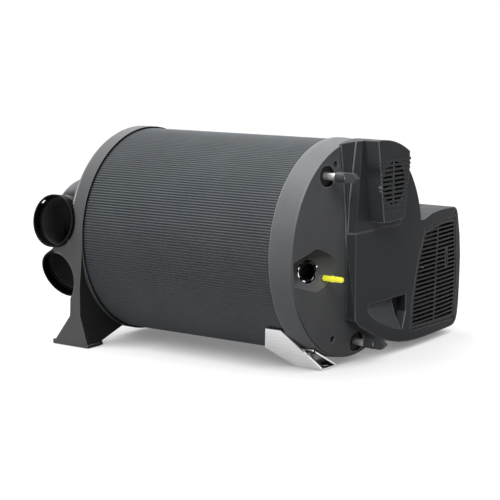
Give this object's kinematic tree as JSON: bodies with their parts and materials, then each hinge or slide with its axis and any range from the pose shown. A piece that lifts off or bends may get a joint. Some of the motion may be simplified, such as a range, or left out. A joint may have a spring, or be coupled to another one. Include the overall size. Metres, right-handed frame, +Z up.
{
  "type": "caravan water and air heater",
  "caption": "Floor-standing ribbed barrel heater for caravans: warm-air duct outlets at one end, capped water and fuel pipes, exhaust scoop, electronics cover and fan intake box at the other.",
  "frame": {"origin": "on the floor, midway between the screw holes of the two moulded legs", "axes": "+X along the barrel axis towards the pipe connections, +Y away from the outlets seen in the picture, towards the fan box, +Z up"},
  "size_m": [0.4875, 0.4338, 0.3],
  "materials": {
    "shell_plastic": "dark grey foamed plastic, fine grain",
    "black_plastic": "black moulded plastic",
    "housing_plastic": "dark moulded plastic",
    "grommet_rubber": "soft black rubber",
    "grey_cap_plastic": "mid grey soft plastic",
    "yellow_cap_plastic": "bright yellow plastic",
    "bright_steel": "bright stainless steel",
    "black_steel": "black coated steel",
    "cast_aluminium": "as cast",
    "motor_case": "zinc plated steel",
    "brass_fitting": "turned brass",
    "insulation": "pale fibre mat",
    "board": "green circuit board",
    "white_plastic": "white moulded plastic"
  },
  "bodies": {
    "case": {"jacket": "shell_plastic", "insulation_sleeve": "insulation", "outlet_ring": "shell_plastic", "air_distributor": "shell_plastic", "outlet_spigot_front_upper": "black_plastic", "outlet_spigot_front_lower": "black_plastic", "outlet_spigot_rear_upper": "black_plastic", "outlet_spigot_rear_lower": "black_plastic", "distributor_screws": "bright_steel", "water_tank": "bright_steel", "heat_exchanger": "cast_aluminium", "burner_tube": "bright_steel", "burner_head": "cast_aluminium", "glow_plug": "brass_fitting", "blower_housing": "housing_plastic", "blower_motor": "motor_case", "tank_sensor": "brass_fitting", "overheat_switch": "black_plastic", "end_cover": "shell_plastic", "end_cover_screws": "black_steel", "hot_water_pipe": "bright_steel", "cold_water_pipe": "bright_steel", "hot_pipe_grommet": "grommet_rubber", "cold_pipe_grommet": "grommet_rubber", "fuel_pipe": "bright_steel", "exhaust_port": "bright_steel", "exhaust_clip": "bright_steel", "fan_housing": "shell_plastic", "fan_back_plate": "housing_plastic", "fan_back_screws": "bright_steel", "fan_scroll": "black_plastic", "fan_motor": "motor_case", "control_board": "board", "terminal_block": "white_plastic", "housing_screws": "black_steel", "metal_foot": "bright_steel", "foot_screws": "bright_steel"},
    "circulation_fan": {"fan_shaft": "bright_steel", "fan_impeller": "black_plastic"},
    "burner_fan": {"blower_shaft": "bright_steel", "blower_impeller": "black_plastic"},
    "hot_cap": {"hot_pipe_cap": "grey_cap_plastic"},
    "cold_cap": {"cold_pipe_cap": "grey_cap_plastic"},
    "fuel_cap": {"fuel_pipe_cap": "yellow_cap_plastic"},
    "grille": {"intake_grille": "black_plastic"},
    "cover": {"electronics_cover": "shell_plastic"}
  },
  "joints": [
    {"name": "circulation_fan_spin", "type": "hinge", "parent": "case", "child": "circulation_fan", "pos_m": [0.36, 0.21, 0.097], "axis": [1, 0, 0], "continuous": true},
    {"name": "burner_fan_spin", "type": "hinge", "parent": "case", "child": "burner_fan", "pos_m": [0.36, 0, 0.153], "axis": [1, 0, 0], "continuous": true},
    {"name": "hot_cap_pull_off", "type": "slide", "parent": "case", "child": "hot_cap", "axis": [1, 0, 0], "range_m": [0, 0.022]},
    {"name": "cold_cap_pull_off", "type": "slide", "parent": "case", "child": "cold_cap", "axis": [1, 0, 0], "range_m": [0, 0.022]},
    {"name": "fuel_cap_pull_off", "type": "slide", "parent": "case", "child": "fuel_cap", "axis": [1, 0, 0], "range_m": [0, 0.025]},
    {"name": "intake_grille_pull_off", "type": "slide", "parent": "case", "child": "grille", "axis": [1, 0, 0], "range_m": [0, 0.03]},
    {"name": "electronics_cover_lift_off", "type": "slide", "parent": "case", "child": "cover", "axis": [1, 0, 0], "range_m": [0, 0.05]}
  ]
}
